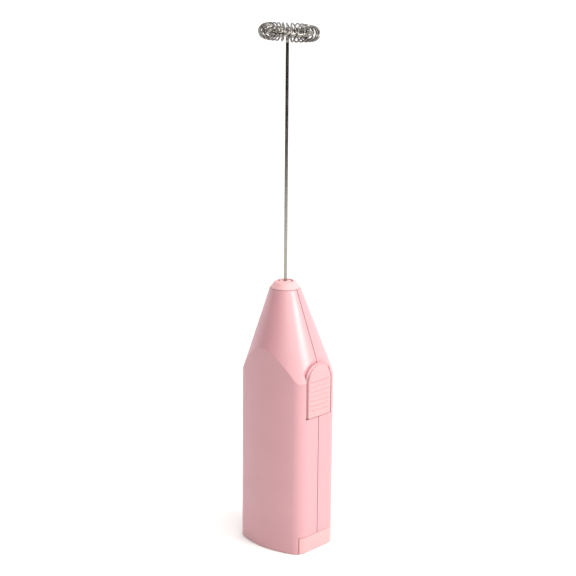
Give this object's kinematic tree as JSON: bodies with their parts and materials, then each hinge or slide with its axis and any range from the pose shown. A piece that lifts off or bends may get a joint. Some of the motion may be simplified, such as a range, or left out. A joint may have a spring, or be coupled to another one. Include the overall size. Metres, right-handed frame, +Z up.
{
  "type": "milk frother",
  "caption": "Hand-held milk frother: pencil-shaped moulded body with slide switch and battery cover, and a small motor that spins a long wire shaft with a coil-spring whisk ring.",
  "frame": {"origin": "on the whisk shaft's axis, in the plane of the flat foot", "axes": "+Z up along the whisk shaft, +X towards the slide switch, -Y towards the front broad face"},
  "size_m": [0.0359, 0.0296, 0.2203],
  "materials": {
    "body_plastic": "moulded ABS, semi-gloss",
    "nose_plastic": "moulded ABS, semi-gloss",
    "bush_plastic": "moulded acetal, satin",
    "switch_plastic": "moulded ABS, satin",
    "cover_plastic": "moulded ABS, semi-gloss",
    "inner_plastic": "moulded nylon, natural",
    "coupling_plastic": "moulded acetal, black",
    "shaft_steel": "drawn stainless wire, polished",
    "coil_steel": "drawn stainless spring wire",
    "contact_brass": "stamped strip, bright",
    "motor_steel": "zinc-plated, drawn",
    "bearing_bronze": "sintered, oiled",
    "magnet_ferrite": "sintered ferrite",
    "rotor_core": "laminated core with enamelled copper",
    "motor_shaft_steel": "ground",
    "cell_jacket": "printed film over steel, plain"
  },
  "bodies": {
    "body": {"front_shell": "body_plastic", "rear_shell": "body_plastic", "nose_cap": "nose_plastic", "nose_bush": "bush_plastic", "battery_left": "cell_jacket", "battery_right": "cell_jacket", "contact_plus": "contact_brass", "contact_minus": "contact_brass", "switch_strip": "contact_brass", "bulkhead": "inner_plastic", "motor_can": "motor_steel", "motor_bearing": "bearing_bronze", "motor_end_cap": "inner_plastic", "motor_terminals": "contact_brass", "motor_magnets": "magnet_ferrite"},
    "switch": {"switch_button": "switch_plastic", "switch_slider": "inner_plastic", "switch_leaf": "contact_brass"},
    "whisk": {"motor_rotor": "rotor_core", "motor_shaft": "motor_shaft_steel", "drive_coupling": "coupling_plastic", "whisk_shaft": "shaft_steel", "whisk_coil": "coil_steel"},
    "cover": {"battery_cover": "cover_plastic", "bridge_contact": "contact_brass"}
  },
  "joints": [
    {"name": "switch_slide", "type": "slide", "parent": "body", "child": "switch", "axis": [0, 0, 1], "range_m": [0, 0.004]},
    {"name": "whisk_spin", "type": "hinge", "parent": "body", "child": "whisk", "pos_m": [0, 0, 0], "axis": [0, 0, 1], "continuous": true},
    {"name": "battery_cover_slide", "type": "slide", "parent": "body", "child": "cover", "axis": [0, 0, -1], "range_m": [0, 0.012]}
  ]
}
